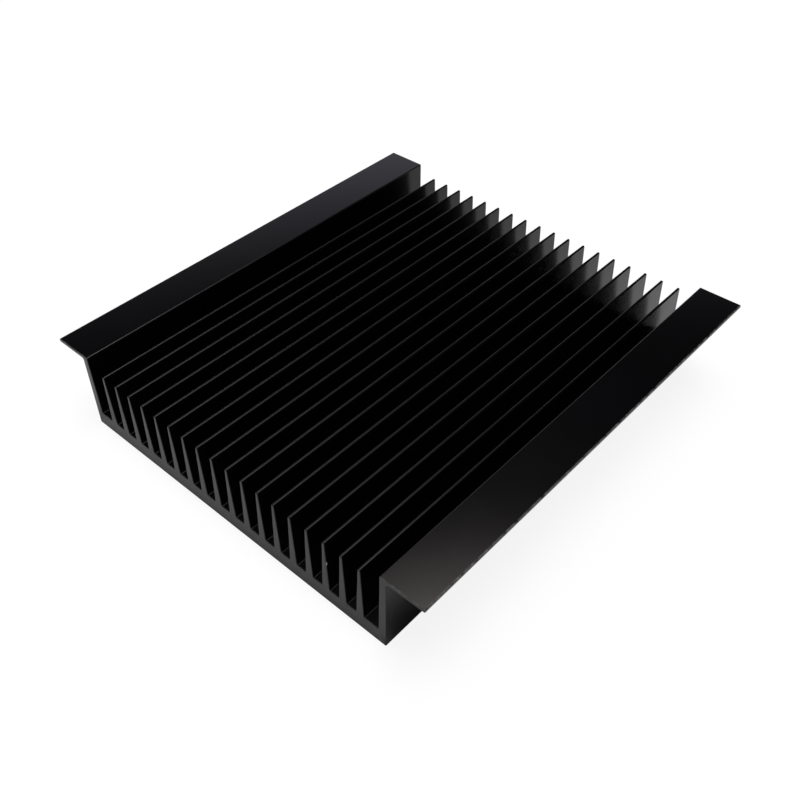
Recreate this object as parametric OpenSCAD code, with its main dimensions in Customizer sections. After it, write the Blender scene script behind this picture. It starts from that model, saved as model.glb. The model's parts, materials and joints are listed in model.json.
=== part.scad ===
// Extruded heat sink in black aluminium. A base plate carries a row of tapered fins between two
// side walls, and each wall has a thin flange standing outwards along its top.
// The section lies in X and Z and runs along Y. Z = 0 is the underside of the base plate.

/* [Cut length] */
// Length that the profile is sawn to
length = 200; // [50:5:600]

/* [Base plate] */
// Thickness of the base plate
base_t = 7; // [3:0.5:14]
// Rounding of the two lower outside edges
base_edge_r = 0.5; // [0.2:0.1:2]

/* [Fins] */
// Number of fins between the side walls
fin_count = 18; // [2:1:36]
// Distance from one fin to the next
fin_pitch = 8; // [5:0.5:16]
// Height of a fin above the base plate
fin_h = 24.3; // [8:0.1:28]
// Thickness of a fin at its foot
fin_foot_t = 3.5; // [1.5:0.1:6]
// Thickness of a fin at its tip
fin_tip_t = 1.15; // [1:0.05:3]
// Rounding of the two edges of a fin's tip
fin_tip_r = 0.45; // [0.1:0.05:0.5]
// Fillet along the foot of each fin and side wall
foot_fillet_r = 0.5; // [0.2:0.1:1.5]

/* [Side walls] */
// Height from the underside of the base plate to the top of the walls
height = 36; // [20:0.5:60]
// Clear gap at the base plate between an outer fin and its side wall
side_gap = 6.6; // [4:0.1:20]
// Thickness of a side wall at its foot
wall_foot_t = 3.4; // [2:0.1:8]
// Thickness of a side wall at its top
wall_top_t = 2.9; // [1.5:0.1:8]

/* [Flanges] */
// How far a flange stands out from its side wall
flange_reach = 15.7; // [4:0.1:40]
// Thickness of a flange
flange_t = 1.5; // [1.1:0.1:5]
// Fillet under a flange, in the corner with its side wall
flange_fillet_r = 0.8; // [0.2:0.1:3]
// Rounding of a flange's long edges
flange_edge_r = 0.5; // [0.1:0.05:0.7]

/* [Hidden] */
$fn = 48;

// Middle of the outermost fin, and the faces of the right side wall
outer_fin_x = (fin_count - 1) * fin_pitch / 2;
wall_foot_x = outer_fin_x + fin_foot_t / 2 + side_gap;
wall_outer_x = wall_foot_x + wall_foot_t;
wall_top_x = wall_outer_x - wall_top_t;
flange_tip_x = wall_outer_x + flange_reach;
flange_under_z = height - flange_t;
fin_tip_z = base_t + fin_h;

// Directions in which a fin's right side and the wall's inner face rise from the base plate
fin_rise = atan2(fin_h, (fin_tip_t - fin_foot_t) / 2);
wall_rise = atan2(height - base_t, wall_top_x - wall_foot_x);

// A rounding's arc and its straight sides run past the two lines that it blends by these amounts,
// so that the arc meets both lines and no film is left along them
arc_lap = 0.0005;
side_lap = 0.01;

// Sliver between two lines that leave a corner in directions a and b, and the arc that blends them.
// Added to a section it fillets an inside corner, taken away it rounds an outside one.
module corner_sliver(at, a, b, r) {
    half = (b - a) / 2;
    middle = [cos(a + half), sin(a + half)];
    centre = at + r / sin(half) * middle;
    reach = r + side_lap;
    difference() {
        polygon([centre - reach / sin(half) * middle, centre + reach * [sin(a), -cos(a)], centre,
            centre + reach * [-sin(b), cos(b)]]);
        translate(centre) circle(r + arc_lap);
    }
}

module both_sides() {
    children();
    mirror([1, 0]) children();
}

// One fin about its own middle line, with its foot fillets
module fin_section() {
    difference() {
        polygon([[-fin_foot_t / 2, base_t], [fin_foot_t / 2, base_t], [fin_tip_t / 2, fin_tip_z],
            [-fin_tip_t / 2, fin_tip_z]]);
        both_sides() corner_sliver([fin_tip_t / 2, fin_tip_z], 180, 180 + fin_rise, fin_tip_r);
    }
    both_sides() corner_sliver([fin_foot_t / 2, base_t], 0, fin_rise, foot_fillet_r);
}

// Right side wall and its flange, with the fillets at the wall's foot and under the flange
module wall_section() {
    difference() {
        union() {
            polygon([[wall_foot_x, base_t], [wall_outer_x, base_t], [wall_outer_x, height],
                [wall_top_x, height]]);
            translate([wall_outer_x, flange_under_z]) square([flange_reach, flange_t]);
        }
        corner_sliver([wall_top_x, height], wall_rise - 180, 0, flange_edge_r);
        corner_sliver([flange_tip_x, height], 180, 270, flange_edge_r);
        corner_sliver([flange_tip_x, flange_under_z], 90, 180, flange_edge_r);
    }
    corner_sliver([wall_foot_x, base_t], wall_rise, 180, foot_fillet_r);
    corner_sliver([wall_outer_x, flange_under_z], -90, 0, flange_fillet_r);
}

module base_section() {
    difference() {
        translate([-wall_outer_x, 0]) square([2 * wall_outer_x, base_t]);
        both_sides() corner_sliver([wall_outer_x, 0], 90, 180, base_edge_r);
    }
}

// The whole extrusion is one piece
module heat_sink() {
    color("#141416") rotate([90, 0, 0]) linear_extrude(length, center = true) {
        base_section();
        for (i = [0 : fin_count - 1]) translate([i * fin_pitch - outer_fin_x, 0]) fin_section();
        both_sides() wall_section();
    }
}

heat_sink();
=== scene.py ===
# %% [markdown]
# A black heat sink, dressed in Blender. The real one is a single length of aluminium, pushed through a
# die, sawn to length and anodised black. The CAD frame already holds its true section, so this lesson
# loads that frame first and keeps its box. The dressed part made later stays inside it.

# %% Load the frame
import json
import math

import bmesh
import bpy
from mathutils import Matrix, Vector

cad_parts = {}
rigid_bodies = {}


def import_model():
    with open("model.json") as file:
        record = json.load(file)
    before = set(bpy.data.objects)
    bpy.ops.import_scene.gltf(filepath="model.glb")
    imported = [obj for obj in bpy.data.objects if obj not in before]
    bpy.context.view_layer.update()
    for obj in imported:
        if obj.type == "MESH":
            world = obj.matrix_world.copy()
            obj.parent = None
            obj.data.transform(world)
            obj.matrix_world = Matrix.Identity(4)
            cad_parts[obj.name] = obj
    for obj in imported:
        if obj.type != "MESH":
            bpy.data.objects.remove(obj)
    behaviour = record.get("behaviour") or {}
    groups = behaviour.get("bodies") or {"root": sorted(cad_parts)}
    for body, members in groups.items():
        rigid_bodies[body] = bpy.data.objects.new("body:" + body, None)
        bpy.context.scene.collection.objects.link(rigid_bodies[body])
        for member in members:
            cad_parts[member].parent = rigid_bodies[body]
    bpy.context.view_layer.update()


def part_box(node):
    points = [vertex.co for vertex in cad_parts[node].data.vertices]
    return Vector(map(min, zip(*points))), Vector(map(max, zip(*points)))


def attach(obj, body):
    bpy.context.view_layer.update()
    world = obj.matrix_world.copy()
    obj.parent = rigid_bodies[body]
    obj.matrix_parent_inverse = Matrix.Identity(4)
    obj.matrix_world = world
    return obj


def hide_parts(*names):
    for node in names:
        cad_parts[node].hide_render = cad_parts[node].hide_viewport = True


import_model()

MM = 0.001
low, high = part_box("heat_sink")
print("CAD box in mm:", [round(side / MM, 2) for side in high - low])

# %% [markdown]
# The section comes from a handful of sizes, as on a die drawing. The overall length, height and width are
# read from the frame. The rest are the thicknesses and radii inside that box, written in millimetres
# and turned into metres once.

# %% Sizes of the section
LENGTH = high.y - low.y
HEIGHT = high.z
FLANGE_TIP_X = high.x

BASE_T = 7.0 * MM
BASE_EDGE_R = 0.5 * MM

FIN_COUNT = 18
FIN_PITCH = 8.0 * MM
FIN_H = 24.3 * MM
FIN_FOOT_T = 3.5 * MM
FIN_TIP_T = 1.15 * MM
FIN_TIP_R = 0.45 * MM
FOOT_FILLET_R = 0.5 * MM

SIDE_GAP = 6.6 * MM
WALL_FOOT_T = 3.4 * MM
WALL_TOP_T = 2.9 * MM
FLANGE_T = 1.5 * MM
FLANGE_FILLET_R = 0.8 * MM
FLANGE_EDGE_R = 0.5 * MM

fin_places = [(i - (FIN_COUNT - 1) / 2) * FIN_PITCH for i in range(FIN_COUNT)]
wall_foot_x = fin_places[-1] + FIN_FOOT_T / 2 + SIDE_GAP
wall_outer_x = wall_foot_x + WALL_FOOT_T
wall_top_x = wall_outer_x - WALL_TOP_T
fin_tip_z = BASE_T + FIN_H
flange_under_z = HEIGHT - FLANGE_T
print(FIN_COUNT, "fins with their tips at", round(fin_tip_z / MM, 2), "mm")
print("outer faces of the walls at", round(wall_outer_x / MM, 2), "mm from the middle")

# %% [markdown]
# The section is grown like a drawing, flat in the plane of the front end. One edge is the underside, and
# extruding it up makes the base plate. Cutting the plate at each fin's foot gives every fin an edge of its
# own to grow from. A list of typed corners would do as well, but growing shows where each part stands.

# %% Grow the base plate
CUT_SNAP = 1e-7
section = bmesh.new()


def grow(edge, step):
    """Extrudes one edge by a step and returns the new edge."""
    made = bmesh.ops.extrude_edge_only(section, edges=[edge])["geom"]
    new_verts = [part for part in made if isinstance(part, bmesh.types.BMVert)]
    bmesh.ops.translate(section, vec=step, verts=new_verts)
    return next(e for e in new_verts[0].link_edges if e.other_vert(new_verts[0]) == new_verts[1])


def cut(bm, parts, point, normal):
    """Cuts the given parts of a mesh by a plane, like the knife tool."""
    bmesh.ops.bisect_plane(bm, geom=parts, dist=CUT_SNAP, plane_co=point, plane_no=normal)


def cut_section(point, normal):
    cut(section, section.verts[:] + section.edges[:] + section.faces[:], point, normal)


ends = [section.verts.new((side * wall_outer_x, low.y, 0)) for side in (-1, 1)]
grow(section.edges.new(ends), (0, 0, BASE_T))

foot_lines = [x + side * FIN_FOOT_T / 2 for x in fin_places for side in (-1, 1)]
for x in foot_lines + [-wall_foot_x, wall_foot_x]:
    cut_section((x, 0, 0), (1, 0, 0))
print("base plate cut into", len(section.faces), "strips")

# %% [markdown]
# The fins of the real extrusion thin out upwards, since little heat is left to carry at the tip. Each one
# is grown from its foot, and its new edge is scaled about the fin's own middle line. A side wall leans on
# its inner face only, so just that corner is moved. A cut across both walls then leaves an edge for each
# flange.

# %% Raise the fins, the side walls and the flanges
def middle(edge):
    return (edge.verts[0].co + edge.verts[1].co) / 2


def edge_near(x, z):
    """The section's edge whose middle lies closest to a point."""
    spot = Vector((x, low.y, z))
    return min(section.edges, key=lambda edge: (middle(edge) - spot).length)


taper = (FIN_TIP_T / FIN_FOOT_T, 1, 1)
for x in fin_places:
    tip = grow(edge_near(x, BASE_T), (0, 0, FIN_H))
    bmesh.ops.scale(section, vec=taper, space=Matrix.Translation((-x, 0, 0)), verts=tip.verts)

for side in (-1, 1):
    foot = edge_near(side * (wall_foot_x + wall_outer_x) / 2, BASE_T)
    top = grow(foot, (0, 0, HEIGHT - BASE_T))
    inner = min(top.verts, key=lambda vert: abs(vert.co.x))
    inner.co.x = side * wall_top_x

cut_section((0, 0, flange_under_z), (0, 0, 1))
for side in (-1, 1):
    root = edge_near(side * wall_outer_x, flange_under_z + FLANGE_T / 2)
    grow(root, (side * (FLANGE_TIP_X - wall_outer_x), 0, 0))
print("section grown from", len(section.faces), "faces")

# %% [markdown]
# The die has one opening, so the section should be one face with one outline. The lines between the grown
# faces are dissolved, and then the corners that lie on a straight run. The Limited Dissolve operator does
# both at once, but it can also swallow corners that are wanted.

# %% Merge the section into one outline
STRAIGHT = math.radians(0.1)

bmesh.ops.recalc_face_normals(section, faces=section.faces)
inner_edges = [edge for edge in section.edges if len(edge.link_faces) == 2]
bmesh.ops.dissolve_edges(section, edges=inner_edges, use_verts=False)
on_straight = [vert for vert in section.verts if vert.calc_edge_angle() < STRAIGHT]
bmesh.ops.dissolve_verts(section, verts=on_straight)
print("section:", len(section.faces), "face with", len(section.verts), "corners")

# %% [markdown]
# The press pushes the metal out along one line, and a single extrude of the face does the same here. A
# Solidify modifier could give the length too, but real geometry is needed for the bevels that come next.

# %% Draw the section out to length
drawn = bmesh.ops.extrude_face_region(section, geom=section.faces[:])["geom"]
far_end = [part for part in drawn if isinstance(part, bmesh.types.BMVert)]
bmesh.ops.translate(section, vec=(0, LENGTH, 0), verts=far_end)
bmesh.ops.recalc_face_normals(section, faces=section.faces)
body = section
print("drawn body:", len(body.faces), "faces, volume", round(body.calc_volume() / MM ** 3), "cubic mm")

# %% [markdown]
# The corners of a die are never sharp, so the long edges are bevelled, each group to its own radius. A bevel
# is told how far it runs along the faces, and the tangent turns a radius into that run at any corner angle.
# One Bevel modifier would give all of them the same radius. Every new face also stores how much its edge
# is worn in use. The same layer later holds painted highlights too, and the finish reads it.

# %% Round the long edges
ARC_STEPS = 6
CLOSE = 0.001 * MM
SHELTERED, LIGHT_RUB, HEAVY_RUB = 0.0, 0.01, 0.3
wear_and_highlight_layer = body.faces.layers.float.new("edge_wear_and_highlight")


def at(value, target):
    return abs(value - target) < CLOSE


def long_edges(belongs):
    """Edges that run the whole length, where belongs says yes to their place in the section."""
    found = []
    for edge in body.edges:
        first, second = edge.verts
        if abs(first.co.y - second.co.y) > LENGTH / 2 and belongs(abs(first.co.x), first.co.z):
            found.append(edge)
    return found


def round_edges(edges, radius, steps, wear_and_highlight):
    """Bevels edges to a radius and stores on the new faces how much their edge is worn."""
    run = radius * math.tan(edges[0].calc_face_angle() / 2)
    made = bmesh.ops.bevel(body, geom=edges, offset=run, offset_type="OFFSET", segments=steps,
                           profile=0.5, affect="EDGES", clamp_overlap=False, material=-1)
    for face in made["faces"]:
        face[wear_and_highlight_layer] = wear_and_highlight
    return len(made["faces"])


corner_kinds = {
    "fin tips": (lambda x, z: at(z, fin_tip_z), FIN_TIP_R, SHELTERED),
    "feet of fins and walls": (lambda x, z: at(z, BASE_T), FOOT_FILLET_R, SHELTERED),
    "under the flanges": (lambda x, z: at(x, wall_outer_x) and at(z, flange_under_z),
                          FLANGE_FILLET_R, SHELTERED),
    "inner edges of the walls": (lambda x, z: at(x, wall_top_x) and at(z, HEIGHT),
                                 FLANGE_EDGE_R, LIGHT_RUB),
    "flange edges": (lambda x, z: at(x, FLANGE_TIP_X), FLANGE_EDGE_R, HEAVY_RUB),
    "underside edges": (lambda x, z: at(z, 0), BASE_EDGE_R, LIGHT_RUB),
}
for name, (belongs, radius, wear_and_highlight) in corner_kinds.items():
    edges = long_edges(belongs)
    count = len(edges)
    faces = round_edges(edges, radius, ARC_STEPS, wear_and_highlight)
    print(name + ":", count, "edges,", faces, "new faces")

# %% [markdown]
# After sawing, the sharp rim of each end is broken by brushing and by the bath before anodising. A bevel of
# about a quarter of a millimetre rounds it, and the round catches a thin line of light. At the ends of the
# flanges, and a little along the floors of the gaps, the rim faces get a painted highlight of lighter grey.

# %% Break the rims of the sawn ends
RIM_BREAK = 0.28 * MM
RIM_STEPS = 3
# Painted highlights: how far the rim faces at the flange ends and along the gap floors are painted light
# grey.
FLANGE_RIM_HIGHLIGHT_PAINT = 0.25
FLOOR_RIM_HIGHLIGHT_PAINT = 0.08
END_FACING = 0.999
UP_FACING = 0.1


def on_end(face):
    return abs(face.normal.y) > END_FACING


rim = [edge for edge in body.edges if any(on_end(face) for face in edge.link_faces)]
rim_faces = round_edges(rim, RIM_BREAK, RIM_STEPS, LIGHT_RUB)
print("rim:", len(rim), "edges,", rim_faces, "new faces")

cell_z = BASE_T + 2 * FOOT_FILLET_R
painted_flange_rim_faces = 0
# The rims at the ends of the flanges and along the gap floors get painted highlights, lighter grey in the
# finish.
for face in body.faces:
    place = face.calc_center_median()
    on_rim = abs(place.y) > LENGTH / 2 - RIM_BREAK and not on_end(face)
    if on_rim and abs(place.x) > wall_top_x and place.z > flange_under_z - FLANGE_FILLET_R:
        face[wear_and_highlight_layer] = FLANGE_RIM_HIGHLIGHT_PAINT
        painted_flange_rim_faces += 1
    elif on_rim and abs(place.x) < wall_foot_x and place.z < cell_z and face.normal.z > UP_FACING:
        face[wear_and_highlight_layer] = FLOOR_RIM_HIGHLIGHT_PAINT
print("rim faces at the ends of the flanges:", painted_flange_rim_faces)

# %% [markdown]
# Each flat end is still one face with hundreds of corners, which shades badly and is hard to edit. Knife
# cuts split it into one cell for each fin, gap and flange. They add no shape, they only keep the mesh tidy
# for anyone who takes it further.

# %% Cut the ends into cells
def end_faces():
    """Flat faces of the two sawn ends."""
    return [face for face in body.faces if on_end(face)]


def cut_faces(faces, point, normal):
    """Cuts only the given faces of the body by a plane."""
    edges = {edge for face in faces for edge in face.edges}
    verts = {vert for face in faces for vert in face.verts}
    cut(body, list(verts) + list(edges) + faces, point, normal)


cut_faces(end_faces(), (0, 0, cell_z), (0, 0, 1))
for i in range(FIN_COUNT + 1):
    gap_x = (i - FIN_COUNT / 2) * FIN_PITCH
    base_cells = [face for face in end_faces() if face.calc_center_median().z < cell_z]
    cut_faces(base_cells, (gap_x, 0, 0), (1, 0, 0))
for side in (-1, 1):
    cut_faces(end_faces(), (side * wall_outer_x, 0, 0), (1, 0, 0))
print("cells on the ends:", len(end_faces()))

# %% [markdown]
# One fin took a knock: on the front of the third fin from the right, a little over halfway up, a crumb of
# metal is pushed out sideways. Sculpting would do it, but a few knife cuts are enough here. They give the
# spot rows of vertices of its own, and each row is then moved by its own step, in millimetres.

# %% Nick in one fin
NICK_FIN = 15
NICK_Z = 21.0 * MM
NICK_WIDTH = 0.7 * MM
NICK_DEPTH = 1.0 * MM
NICK_ROWS = {-1.2: 0.0, -0.65: 0.06, -0.15: 0.16, 0.35: 0.1, 0.8: 0.05, 1.4: 0.0}
# The faces about the burr are painted light grey: partly bare metal from the knock, partly a painted glint.
NICK_BARE_AND_GLINT = 4.0
BARE_STEP = 0.08

lean = (FIN_FOOT_T - FIN_TIP_T) / 2 / FIN_H
nick_x = fin_places[NICK_FIN] + FIN_FOOT_T / 2 - lean * (NICK_Z - BASE_T)
rim_reach = 1.5 * RIM_BREAK


def faces_by_nick(reach_in, reach_back):
    """Faces at the front of the knocked fin's right side, within two distances of the nick."""
    found = []
    for face in body.faces:
        place = face.calc_center_median()
        beside = nick_x - reach_in < place.x < nick_x + FIN_PITCH / 4
        if beside and place.y < low.y + reach_back and cell_z < place.z < fin_tip_z - FIN_TIP_R:
            found.append(face)
    return found


cut_faces(faces_by_nick(FIN_FOOT_T, RIM_BREAK / 2), (nick_x - NICK_WIDTH, 0, 0), (1, 0, 0))
cut_faces(faces_by_nick(FIN_FOOT_T / 4, LENGTH), (0, low.y + NICK_DEPTH, 0), (0, 1, 0))
for row in NICK_ROWS:
    cut_faces(faces_by_nick(NICK_WIDTH, NICK_DEPTH), (0, 0, NICK_Z + row * MM), (0, 0, 1))

pushed = []
for vert in body.verts:
    row = next((row for row in NICK_ROWS if at(vert.co.z, NICK_Z + row * MM)), None)
    by_edge = nick_x - rim_reach < vert.co.x < nick_x + RIM_BREAK
    if row is not None and by_edge and vert.co.y < low.y + rim_reach:
        vert.co.x += NICK_ROWS[row] * MM
        pushed.append((vert, NICK_ROWS[row]))

# Faces about the burr get the bare grey, partly the bare metal of the knock and partly a painted glint.
bared_and_glinting = {face for vert, step in pushed if step > BARE_STEP for face in vert.link_faces}
for face in bared_and_glinting:
    depth = max(corner.co.y for corner in face.verts) - low.y
    if RIM_BREAK / 4 < depth < rim_reach:
        face[wear_and_highlight_layer] = NICK_BARE_AND_GLINT
print("nick:", len(pushed), "vertices moved,", len(bared_and_glinting), "faces about it")

# %% [markdown]
# The mesh becomes one object at the origin, in the place of the CAD node. It carries three finishes: the
# drawn skin on the flanges, the fin tips and the underside, a duller skin between the fins and on the outer
# faces of the walls, and the sawn ends. Each face gets its finish from the way it points and where it lies.
# The Weighted Normal modifier keeps the large faces flat, so that only the bevels bend the light.

# %% Make the object
SKIN, DULL, SAWN = range(3)
SAWN_FACING = 0.2
SHARP_ANGLE = math.radians(50)

body.normal_update()
for face in body.faces:
    face.smooth = True
    centre = face.calc_center_median()
    between_fins = abs(centre.x) < wall_top_x and BASE_T - RIM_BREAK < centre.z < fin_tip_z - FIN_TIP_R
    outer_side = abs(centre.x) > wall_foot_x and BASE_EDGE_R < centre.z < flange_under_z
    if abs(face.normal.y) > SAWN_FACING:
        face.material_index = SAWN
    elif between_fins or outer_side:
        face.material_index = DULL
    else:
        face.material_index = SKIN

mesh = bpy.data.meshes.new("finned_extrusion")
body.to_mesh(mesh)
body.free()
mesh.set_sharp_from_angle(angle=SHARP_ANGLE)
extrusion = bpy.data.objects.new("finned_extrusion", mesh)
bpy.context.scene.collection.objects.link(extrusion)

even = extrusion.modifiers.new("even_normals", "WEIGHTED_NORMAL")
even.mode = "FACE_AREA"
even.weight = 100
even.keep_sharp = True

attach(extrusion, "root")
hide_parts("heat_sink")
counts = [sum(face.material_index == kind for face in mesh.polygons) for kind in (SKIN, DULL, SAWN)]
print("faces of drawn skin, dull skin and sawn ends:", counts)

# %% [markdown]
# The finish is black anodising: a hard, clear oxide grown on the metal and filled with dye. It reflects like
# varnish and not like bare metal, so the shader stays a dielectric with a very dark base. A flat black would
# look like plastic film, so four effects vary it, each one a node group that all the finishes share. First
# come helpers: one adds a node and fills its sockets, and two more open and close a group.

# %% Node helpers
COLOUR_A, COLOUR_B, COLOUR_OUT = 6, 7, 2


def add(tree, kind, inputs=None, **options):
    """Adds a node, sets its options, and fills its sockets with links or plain values."""
    node = tree.nodes.new("ShaderNode" + kind)
    for option, value in options.items():
        setattr(node, option, value)
    for socket, value in (inputs or {}).items():
        if isinstance(value, bpy.types.NodeSocket):
            tree.links.new(value, node.inputs[socket])
        else:
            node.inputs[socket].default_value = value
    return node


def calculate(tree, operation, first, second):
    return add(tree, "Math", {0: first, 1: second}, operation=operation).outputs[0]


def between(tree, value, from_range, to_range):
    """Maps a value from one range to another and stops at its ends."""
    inputs = {"Value": value, "From Min": from_range[0], "From Max": from_range[1],
              "To Min": to_range[0], "To Max": to_range[1]}
    return add(tree, "MapRange", inputs).outputs[0]


def mix_colours(tree, share, first, second, blend="MIX"):
    """The Mix node in its colour mode, whose colour sockets go by number."""
    inputs = {"Factor": share, COLOUR_A: first, COLOUR_B: second}
    return add(tree, "Mix", inputs, data_type="RGBA", blend_type=blend).outputs[COLOUR_OUT]


def start_group(name, inputs, outputs):
    """A shader node group with named sockets."""
    group = bpy.data.node_groups.new(name, "ShaderNodeTree")
    for socket, (kind, value) in inputs.items():
        made = group.interface.new_socket(socket, in_out="INPUT", socket_type="NodeSocket" + kind)
        made.default_value = value
    for socket, kind in outputs.items():
        group.interface.new_socket(socket, in_out="OUTPUT", socket_type="NodeSocket" + kind)
    return group, group.nodes.new("NodeGroupInput").outputs


def end_group(group, results):
    end = group.nodes.new("NodeGroupOutput")
    for socket, value in results.items():
        group.links.new(value, end.inputs[socket])
    print("node group", group.name, "gives", ", ".join(results))


MASK = (0.0, 1.0)
print("shader nodes come from Blender", bpy.app.version_string)

# %% [markdown]
# The die leaves faint lines that run the whole length of the profile. Noise on Object coordinates with Y
# squeezed to almost nothing gives such lines on the flanges, the walls and the fins alike, because they all
# run along Y. A wave texture would be too even. Two sizes are mixed: broad soft waves, and fine scratches.

# %% Die lines
LINE_STRETCH = (1.0, 0.006, 1.0)
FINE_SHARE = 0.12

die_lines, given = start_group("die_lines", {"Broad": ("Float", 260.0), "Fine": ("Float", 2100.0)},
                               {"Height": "Float"})
place = add(die_lines, "TexCoord").outputs["Object"]
stretched = add(die_lines, "VectorMath", {0: place, 1: LINE_STRETCH}, operation="MULTIPLY").outputs[0]
broad = add(die_lines, "TexNoise", {"Vector": stretched, "Scale": given["Broad"], "Detail": 2.0}).outputs[0]
fine = add(die_lines, "TexNoise", {"Vector": stretched, "Scale": given["Fine"], "Detail": 1.0}).outputs[0]
scratches = calculate(die_lines, "MULTIPLY", fine, FINE_SHARE)
end_group(die_lines, {"Height": calculate(die_lines, "ADD", broad, scratches)})

# %% [markdown]
# Dye never takes perfectly evenly. Seen closely the black drifts between a warm and a cold tone, over a few
# centimetres. Large soft noise mixes two blacks, and the same cloud moves the gloss a little.

# %% Dye clouds
CLOUD_RANGE = (0.32, 0.68)
BLACK = (0, 0, 0, 1)

dye_clouds, given = start_group(
    "dye_clouds", {"Warm": ("Color", BLACK), "Cold": ("Color", BLACK), "Scale": ("Float", 22.0)},
    {"Colour": "Color", "Cloud": "Float"})
place = add(dye_clouds, "TexCoord").outputs["Object"]
noise = add(dye_clouds, "TexNoise", {"Vector": place, "Scale": given["Scale"], "Detail": 3.0}).outputs[0]
cloud = between(dye_clouds, noise, CLOUD_RANGE, MASK)
dyed = mix_colours(dye_clouds, cloud, given["Warm"], given["Cold"])
end_group(dye_clouds, {"Colour": dyed, "Cloud": cloud})

# %% [markdown]
# A part that has been unpacked and held carries faint smears from gloves and a few specks of dust. The
# smears only change the gloss. Each Voronoi cell holds at most one speck, and a threshold on the cell's
# random colour leaves most cells empty.

# %% Handling marks
SMEAR_RANGE = (0.52, 0.74)
SPECK_SCALE = 260.0
SPECK_SIZE = 0.05
EMPTY_SHARE = 0.93

handling, given = start_group("handling", {"Smear Scale": ("Float", 30.0)},
                              {"Smears": "Float", "Dust": "Float"})
place = add(handling, "TexCoord").outputs["Object"]
wipes = add(handling, "TexNoise", {"Vector": place, "Scale": given["Smear Scale"], "Detail": 5.0,
                                   "Distortion": 1.2}).outputs[0]
smears = between(handling, wipes, SMEAR_RANGE, MASK)
cells = add(handling, "TexVoronoi", {"Vector": place, "Scale": SPECK_SCALE})
small = calculate(handling, "LESS_THAN", cells.outputs["Distance"], SPECK_SIZE)
chosen = calculate(handling, "GREATER_THAN", cells.outputs["Color"], EMPTY_SHARE)
end_group(handling, {"Smears": smears, "Dust": calculate(handling, "MULTIPLY", small, chosen)})

# %% [markdown]
# Outside edges lose a little of their black when profiles are stacked and racked. The bevelled faces carry
# the value that was stored when they were made, so wear stays on true edges and never creeps into a fillet,
# as a pointiness mask would. The same value also holds painted highlights on the rims at the ends of the
# flanges and along the gap floors, and on the nick it is partly bare metal and partly a painted glint. Noise
# breaks it up, since nothing rubs evenly.

# %% Rubbed edges and painted highlights
PATCH_RANGE = (0.32, 0.7)

wear_and_highlights, given = start_group("wear_and_highlights", {"Grain": ("Float", 420.0)}, {"Wear And Highlight": "Float"})
place = add(wear_and_highlights, "TexCoord").outputs["Object"]
stored = add(wear_and_highlights, "Attribute", attribute_name="edge_wear_and_highlight").outputs["Fac"]
grain = add(wear_and_highlights, "TexNoise", {"Vector": place, "Scale": given["Grain"], "Detail": 3.0}).outputs[0]
patchy = between(wear_and_highlights, grain, PATCH_RANGE, MASK)
patchy_wear_and_highlight = calculate(wear_and_highlights, "MULTIPLY", stored, patchy)
end_group(wear_and_highlights, {"Wear And Highlight": calculate(wear_and_highlights, "MINIMUM", patchy_wear_and_highlight, 1.0)})

# %% [markdown]
# Each finish is the same small network with its own values: dye clouds for the base, wear with painted
# highlights and dust mixed over it, a roughness that the clouds, the smears and the wear move, and the die
# lines as a bump of a few thousandths of a millimetre. The index of refraction is one value for a whole
# finish, so it is set on the shader's own socket.

# %% Anodised finish
WARM_BLACK = (0.0020, 0.0016, 0.0017, 1)
COLD_BLACK = (0.0016, 0.0015, 0.0020, 1)
# Light grey of bare metal, for wear and also for the painted highlights on some rims and on the nick.
BARE_AND_HIGHLIGHT_GREY = (0.35, 0.35, 0.34, 1)
DUST_GREY = (0.03, 0.03, 0.03, 1)
GLOSS_DRIFT = 0.06
WEAR_AND_HIGHLIGHT_DULLING = 0.05


def use(tree, group, values=None):
    return add(tree, "Group", values, node_tree=group).outputs


def anodised(name, ior, roughness, smear_dulling, line_depth, line_sizes):
    """Adds a black anodised material to the mesh and returns its tree, its shader and its bump."""
    material = bpy.data.materials.new(name)
    material.use_nodes = True
    tree = material.node_tree
    shader = tree.nodes["Principled BSDF"]
    shader.inputs["IOR"].default_value = ior

    dye = use(tree, dye_clouds, {"Warm": WARM_BLACK, "Cold": COLD_BLACK})
    marks = use(tree, handling)
    # Light grey mixed in on edges: real wear, painted highlights on some rims, and bare metal with a painted
    # glint on the nick.
    wear_and_highlight = use(tree, wear_and_highlights)["Wear And Highlight"]
    worn_and_highlighted = mix_colours(tree, wear_and_highlight, dye["Colour"], BARE_AND_HIGHLIGHT_GREY)
    tree.links.new(mix_colours(tree, marks["Dust"], worn_and_highlighted, DUST_GREY), shader.inputs["Base Color"])

    drift = (roughness * (1 - GLOSS_DRIFT), roughness * (1 + GLOSS_DRIFT))
    matt = between(tree, dye["Cloud"], MASK, drift)
    smeared = calculate(tree, "MULTIPLY", marks["Smears"], smear_dulling)
    dulled_by_wear_and_highlight = calculate(tree, "MULTIPLY", wear_and_highlight, WEAR_AND_HIGHLIGHT_DULLING)
    matt = calculate(tree, "ADD", matt, calculate(tree, "ADD", smeared, dulled_by_wear_and_highlight))
    tree.links.new(matt, shader.inputs["Roughness"])

    lines = use(tree, die_lines, line_sizes)
    bump = add(tree, "Bump", {"Height": lines["Height"], "Distance": line_depth, "Strength": 1.0})
    tree.links.new(bump.outputs[0], shader.inputs["Normal"])
    mesh.materials.append(material)
    print(name, "has", len(tree.nodes), "nodes, roughness about", roughness)
    return tree, shader, bump


print("bare metal is", round(BARE_AND_HIGHLIGHT_GREY[0] / WARM_BLACK[0]), "times as bright as the dye")

# %% [markdown]
# The drawn skin on the flanges is the glossiest. Between the fins the slender tongues of the die drag at the
# metal, and that skin is duller, with stronger lines. The outer faces of the walls look the same. The oxide
# itself has an index of about 1.6. Its pores are finer than a wave of light and take away some of what it
# mirrors straight on, but little at a grazing angle. A lower index does just that, and a higher roughness
# alone wouldn't.

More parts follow.
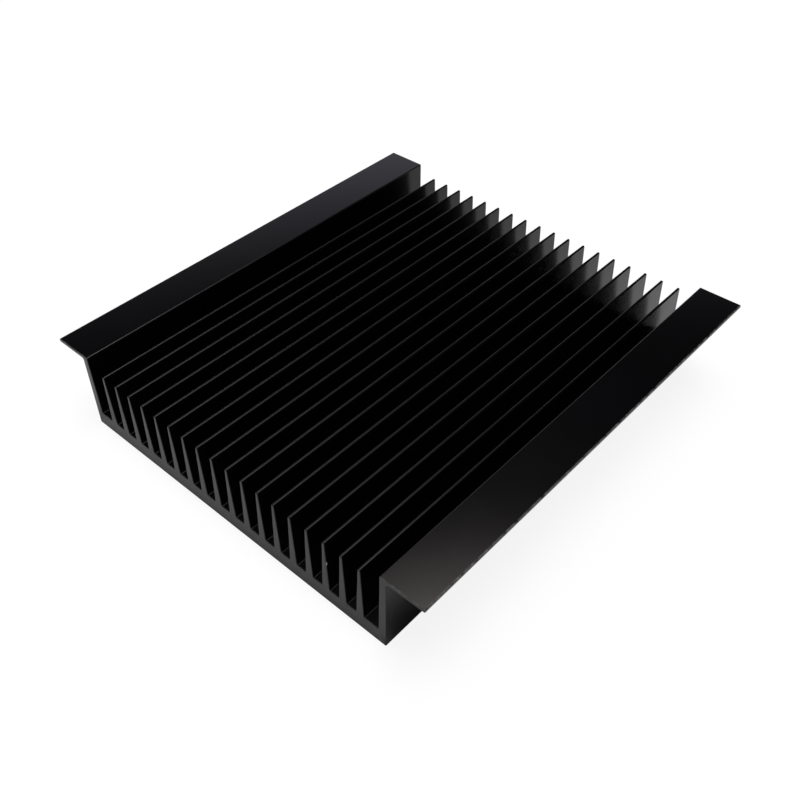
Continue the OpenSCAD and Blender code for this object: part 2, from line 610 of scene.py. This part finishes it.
# %% Drawn skin and dull skin
MICRON = 1e-6

anodised("drawn_skin", ior=1.38, roughness=0.12, smear_dulling=0.02, line_depth=2.0 * MICRON,
         line_sizes={"Broad": 260.0, "Fine": 2100.0})
anodised("dull_skin", ior=1.28, roughness=0.19, smear_dulling=0.03, line_depth=4.0 * MICRON,
         line_sizes={"Broad": 400.0, "Fine": 2600.0})

# %% [markdown]
# The ends were cut by a circular saw before anodising. Its teeth leave fine arcs about the blade's centre,
# which lies off to the side of the work. The distance from that centre drives one-dimensional noise, and a
# second bump adds it to the first. Concentric rings of geometry would cost far more for marks this fine.

# %% Sawn ends
BLADE_CENTRE = (-0.21, 0.0, -0.03)
IN_SECTION = (1.0, 0.0, 1.0)
TOOTH_MARKS = 2600.0
TOOTH_DEPTH = 1.6 * MICRON

tree, shader, bump = anodised("sawn_end", ior=1.22, roughness=0.16, smear_dulling=0.02,
                              line_depth=1.0 * MICRON, line_sizes={"Broad": 300.0, "Fine": 1500.0})
place = add(tree, "TexCoord").outputs["Object"]
flat = add(tree, "VectorMath", {0: place, 1: IN_SECTION}, operation="MULTIPLY").outputs[0]
reach = add(tree, "VectorMath", {0: flat, 1: BLADE_CENTRE}, operation="DISTANCE").outputs["Value"]
arcs = add(tree, "TexNoise", {"W": reach, "Scale": TOOTH_MARKS, "Detail": 1.0},
           noise_dimensions="1D").outputs[0]
saw_bump = add(tree, "Bump", {"Height": arcs, "Distance": TOOTH_DEPTH, "Strength": 1.0,
                              "Normal": bump.outputs[0]})
tree.links.new(saw_bump.outputs[0], shader.inputs["Normal"])
print("materials:", [material.name for material in mesh.materials])

# %% [markdown]
# The part lies on white card. The camera should see that card white, yet the black finish should mirror a
# real card, which is darker close to the object. Light Path separates the two. Seen directly the card mostly
# glows, and a little shading adds the soft shadow. A mirrored ray meets the card as it is lit, white in the
# open and dim under the flanges, so the ends and the lower walls show that shadow too.

# %% Floor
FLOOR_HALF = 4.0
FLOOR_DROP = 0.02 * MM
CARD_WHITE = 0.9
SEEN_SHADE = 0.11
SEEN_GLOW = 0.885

sheet = bmesh.new()
bmesh.ops.create_grid(sheet, x_segments=1, y_segments=1, size=FLOOR_HALF)
bmesh.ops.translate(sheet, vec=(0, 0, -FLOOR_DROP), verts=sheet.verts)
floor_mesh = bpy.data.meshes.new("floor")
sheet.to_mesh(floor_mesh)
sheet.free()
floor = bpy.data.objects.new("floor", floor_mesh)
bpy.context.scene.collection.objects.link(floor)


def seen_directly(tree):
    """One for rays from the camera, also through clear things, and nought for all others."""
    path = add(tree, "LightPath").outputs
    return calculate(tree, "MAXIMUM", path["Is Camera Ray"], path["Is Transmission Ray"])


card = bpy.data.materials.new("white_card")
card.use_nodes = True
tree = card.node_tree
tree.nodes.clear()
seen = seen_directly(tree)
shade = between(tree, seen, MASK, (CARD_WHITE, SEEN_SHADE))
diffuse = add(tree, "BsdfDiffuse", {"Color": shade}).outputs[0]
glow = add(tree, "Emission", {"Strength": calculate(tree, "MULTIPLY", seen, SEEN_GLOW)}).outputs[0]
both = add(tree, "AddShader", {0: diffuse, 1: glow}).outputs[0]
add(tree, "OutputMaterial", {"Surface": both})
floor_mesh.materials.append(card)
print("floor:", 2 * FLOOR_HALF, "m of white card")

# %% [markdown]
# The studio is a world shader, because a black finish shows mostly what it mirrors, and a world can draw
# that freely. Area lamps would need a shape for every soft edge. The helpers here measure the direction of
# a ray, turn the measure into a colour with a ramp, multiply masks and make light of the result.

# %% World helpers
world = bpy.data.worlds.new("studio")
bpy.context.scene.world = world
world.use_nodes = True
sky = world.node_tree
sky.nodes.clear()
direction = add(sky, "TexCoord").outputs["Generated"]


def along(vector):
    """How far the direction of a ray runs along a vector."""
    return add(sky, "VectorMath", {0: direction, 1: vector}, operation="DOT_PRODUCT").outputs["Value"]


def level_way(degrees):
    """A level direction, by its turn from the X axis."""
    turn = math.radians(degrees)
    return Vector((math.cos(turn), math.sin(turn), 0))


def ramp(value, stops, interpolation):
    """A colour ramp through stops of a position and a colour."""
    first, last = stops[0][0], stops[-1][0]
    node = add(sky, "ValToRGB", {"Fac": between(sky, value, (first, last), MASK)})
    node.color_ramp.interpolation = interpolation
    while len(node.color_ramp.elements) < len(stops):
        node.color_ramp.elements.new(0.5)
    for element, (position, colour) in zip(node.color_ramp.elements, stops):
        element.position = (position - first) / (last - first)
        element.color = (*colour, 1)
    return node.outputs["Color"]


def grey(level, tint=(1.0, 1.0, 1.0)):
    return tuple(level * part for part in tint)


def product(first, *others):
    for other in others:
        first = calculate(sky, "MULTIPLY", first, other)
    return first


def shine(colour, strength):
    return add(sky, "Background", {"Color": colour, "Strength": strength}).outputs[0]


VIEW_TURN = 133.2
ahead_way = level_way(VIEW_TURN)
aside_way = level_way(VIEW_TURN - 90)
climb = along((0, 0, 1))
above = calculate(sky, "GREATER_THAN", climb, 0.0)
print("the camera looks towards", [round(part, 3) for part in ahead_way])

# %% [markdown]
# The main light is a long, narrow softbox overhead, in line with the camera. It fades out ahead in steps,
# and the right flange mirrors that end as a soft fall from grey to black. A ray that climbs by z meets the
# softbox's plane at x/z and y/z, so two ramps on those ratios draw its outline and are multiplied.

# %% Softbox
HORIZON = 0.02
SOFTBOX_LEVEL = 11.765
WARM_EDGE = (1.0, 0.88, 0.87)
SOFTBOX_ALONG = [
    (-0.45, grey(0.0)), (-0.15, grey(1.0)), (0.2, grey(1.0)), (0.4, grey(0.6154)), (0.55, grey(0.3885)),
    (0.64, grey(0.3815)), (0.68, grey(0.2315, WARM_EDGE)), (0.71, grey(0.1231, WARM_EDGE)),
    (0.74, grey(0.1223, WARM_EDGE)), (0.78, grey(0.0289, WARM_EDGE)), (0.82, grey(0.0167)),
    (0.87, grey(0.00615)), (1.2, grey(0.00615)), (1.35, grey(0.0))]
SOFTBOX_ACROSS = [(-0.242, grey(0.0)), (0.12, grey(0.96)), (0.457, grey(0.0))]

rise = calculate(sky, "MAXIMUM", climb, HORIZON)
ahead = calculate(sky, "DIVIDE", along(ahead_way), rise)
aside = calculate(sky, "DIVIDE", along(aside_way), rise)


def overhead(along_ramp, across_ramp, level):
    """A light overhead, drawn by a ramp along the view and one across it."""
    outline = mix_colours(sky, 1.0, along_ramp, across_ramp, "MULTIPLY")
    return shine(outline, product(above, level))


softbox = overhead(ramp(ahead, SOFTBOX_ALONG, "LINEAR"), ramp(aside, SOFTBOX_ACROSS, "EASE"),
                   SOFTBOX_LEVEL)
print("softbox:", len(SOFTBOX_ALONG), "stops along,", len(SOFTBOX_ACROSS), "across")

# %% [markdown]
# Some of the light spills onto the ceiling to the left of the softbox. The part hardly mirrors that patch,
# but it lights the card from the side, and the sawn ends and the backs of the gaps mirror the card. It is
# drawn like the softbox, with softer ramps.

# %% Spill on the ceiling
SPILL_LEVEL = 3.5
SPILL_ALONG = [(-0.3, grey(0.0)), (0.0, grey(1.0)), (0.45, grey(1.0)), (0.6, grey(0.0))]
SPILL_ACROSS = [(-0.65, grey(0.0)), (-0.45, grey(1.0)), (-0.2, grey(1.0)), (-0.05, grey(0.0))]

spill = overhead(ramp(ahead, SPILL_ALONG, "EASE"), ramp(aside, SPILL_ACROSS, "EASE"), SPILL_LEVEL)
print("spill:", round(SPILL_LEVEL / SOFTBOX_LEVEL, 2), "times as bright as the softbox")

# %% [markdown]
# Behind the part hangs a pale, slightly blue backdrop that grows dimmer upwards. The left flange mirrors it
# as a slow fall from its back end to its front, and the back end of the right flange shows a trace of it.
# A ramp on the height of a ray draws that fall, with a few stops in degrees. Its foot and its sides fade.

# %% Backdrop
BACKDROP_LEVEL = 1.29
BACKDROP_TINT = (0.88, 0.855, 1.0)
BACKDROP_FALL = {25.0: 1.0, 27.0: 0.77, 29.4: 0.51, 30.7: 0.373, 32.1: 0.264, 33.4: 0.173, 34.8: 0.091,
                 36.1: 0.045, 37.3: 0.018, 39.0: 0.0}
BACKDROP_FOOT, FOOT_BLUR = 25.2, 2.5
BACKDROP_TURN = 158.2
BACKDROP_EDGE = (0.45, 0.65)


def climb_at(degrees):
    """How far a ray climbs at an angle over the horizon."""
    return math.sin(math.radians(degrees))


def past(degrees, blur, levels):
    """Changes from one level to another where a ray climbs past an angle."""
    return between(sky, climb, (climb_at(degrees - blur), climb_at(degrees + blur)), levels)


fall = [(climb_at(angle), grey(level, BACKDROP_TINT)) for angle, level in BACKDROP_FALL.items()]
sides = between(sky, along(level_way(BACKDROP_TURN)), BACKDROP_EDGE, (0.0, BACKDROP_LEVEL))
foot = past(BACKDROP_FOOT, FOOT_BLUR, MASK)
backdrop = shine(ramp(climb, fall, "LINEAR"), product(sides, foot))
print("backdrop: from", BACKDROP_FOOT, "to", max(BACKDROP_FALL), "degrees")

# %% [markdown]
# A white reflector card stands to the left. It is too low for the flanges, and in the camera's view only
# the round fin tips mirror it. It adds the left half of the bright line along each tip. Soft limits on the
# height and the side of a ray cut its outline.

# %% Reflector card
WHITE = (1, 1, 1, 1)
FADE = (1.0, 0.0)
REFLECTOR_LEVEL = 1.25
REFLECTOR_TURN = 185.0
REFLECTOR_EDGE = (0.6, 0.72)
REFLECTOR_FOOT, REFLECTOR_TOP, REFLECTOR_BLUR = 19.0, 27.5, 1.0

sides = between(sky, along(level_way(REFLECTOR_TURN)), REFLECTOR_EDGE, (0.0, REFLECTOR_LEVEL))
foot = past(REFLECTOR_FOOT, REFLECTOR_BLUR, MASK)
top = past(REFLECTOR_TOP, REFLECTOR_BLUR, FADE)
reflector = shine(WHITE, product(sides, foot, top))
print("reflector: from", REFLECTOR_FOOT, "to", REFLECTOR_TOP, "degrees")

# %% [markdown]
# On the camera's side stands a dim wall, low over the card. The camera's own view mirrors nothing from
# there, but a view from behind would meet pure black without it. Half strength is enough to show the shapes.

# %% Wall behind the camera
WALL_LEVEL = 0.5
WALL_TOP, WALL_BLUR = 22.0, 6.0
WALL_EDGE = (-0.1, 0.3)

sides = between(sky, along(-ahead_way), WALL_EDGE, (0.0, WALL_LEVEL))
top = past(WALL_TOP, WALL_BLUR, FADE)
wall = shine(WHITE, product(sides, top, above))
print("wall behind the camera: up to", WALL_TOP, "degrees")

# %% [markdown]
# Behind the part the card sweeps up into the white background. Mirrored rays see that white too, but only
# as far up as the sweep reaches, because the room above it is dark, as the real finish shows. The fin tips
# draw the sweep as fine bright lines.

# %% Sweep behind the part
SWEEP_TOP, SWEEP_BLUR = 14.3, 2.5
SWEEP_TURN = 165.0
SWEEP_EDGE = (-0.05, 0.05)

sides = between(sky, along(level_way(SWEEP_TURN)), SWEEP_EDGE, MASK)
top = past(SWEEP_TOP, SWEEP_BLUR, FADE)
sweep = product(sides, top, above)
print("sweep: up to", SWEEP_TOP, "degrees")

# %% [markdown]
# All lights are added up. A white background of strength one then lies over them, everywhere for the camera
# and along the sweep for every other ray. So the picture is white behind the part without any more light
# falling on it.

# %% World
lights = softbox
for light in (spill, backdrop, reflector, wall):
    lights = add(sky, "AddShader", {0: lights, 1: light}).outputs[0]
background = shine(WHITE, 1.0)
white_share = calculate(sky, "MAXIMUM", seen_directly(sky), sweep)
studio = add(sky, "MixShader", {0: white_share, 1: lights, 2: background}).outputs[0]
add(sky, "OutputWorld", {"Surface": studio})
print("world nodes:", len(sky.nodes))

# %% [markdown]
# The camera was solved from the straight edges of the part. The long edges, the edges across and the upright
# ones run to three vanishing points, and those give the turn and the focal length in pixels. The corners
# then give the place. The lens axis lies a little off the middle of the picture, so a small shift moves it.

# %% Camera
IMAGE_SIDE = 800
CAMERA_PLACE = Vector((196.53, -229.53, 276.26)) * MM
CAMERA_TURN = (46.671, 0.627, 42.668)
FOCAL_PIXELS = 951.5
AXIS_PIXEL = (371.2, 402.1)
SENSOR_WIDTH = 36

lens = bpy.data.cameras.new("camera")
camera = bpy.data.objects.new("camera", lens)
bpy.context.scene.collection.objects.link(camera)
camera.location = CAMERA_PLACE
camera.rotation_euler = [math.radians(angle) for angle in CAMERA_TURN]
lens.sensor_width = SENSOR_WIDTH
lens.lens = FOCAL_PIXELS / IMAGE_SIDE * SENSOR_WIDTH
lens.shift_x = (IMAGE_SIDE / 2 - AXIS_PIXEL[0]) / IMAGE_SIDE
lens.shift_y = (AXIS_PIXEL[1] - IMAGE_SIDE / 2) / IMAGE_SIDE
bpy.context.scene.camera = camera
print("focal length:", round(lens.lens, 1), "mm, shift:", round(lens.shift_x, 3), round(lens.shift_y, 3))

# %% [markdown]
# The Standard view transform shows each colour as it was written. The dressing only bevels, and the nick
# lies inside, so the box of all that is visible should agree with the CAD box.

# %% View transform
bpy.context.scene.view_settings.view_transform = "Standard"
